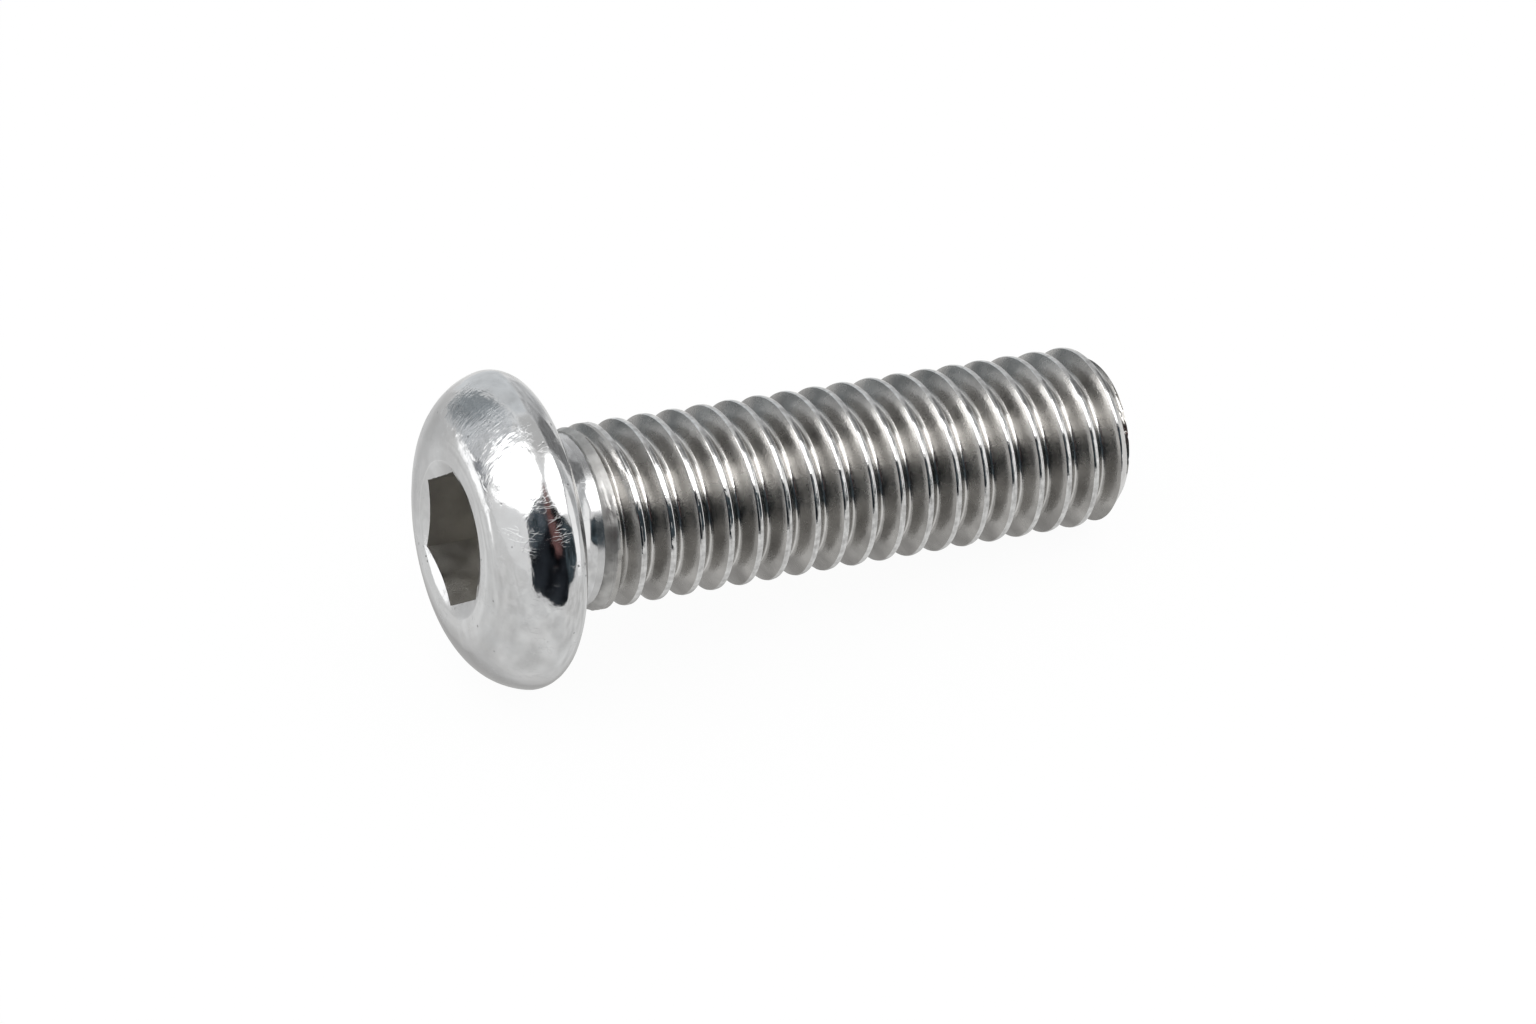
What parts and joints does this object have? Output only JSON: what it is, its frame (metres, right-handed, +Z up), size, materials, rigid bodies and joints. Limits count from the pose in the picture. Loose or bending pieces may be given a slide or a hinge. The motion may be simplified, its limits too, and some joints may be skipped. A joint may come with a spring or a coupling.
{
  "type": "button head socket screw",
  "caption": "Button head machine screw with a hexagon socket, a short plain neck, a full-length coarse thread and a chamfered tip, lying on its side.",
  "frame": {"origin": "centre of the bottom of the bounding box, on the surface that the screw lies on", "axes": "+X horizontal, the way the tip points; +Z up; the head is at -X and the axis of the screw slopes down 6.09 degrees towards the tip, as a screw comes to rest on its rim and its last full crest"},
  "size_m": [0.0232, 0.01, 0.01],
  "materials": {
    "steel": "polished head with small dents, satin rolled thread with bright crests, dark satin socket"
  },
  "bodies": {
    "root": {"screw": "steel"}
  },
  "joints": []
}
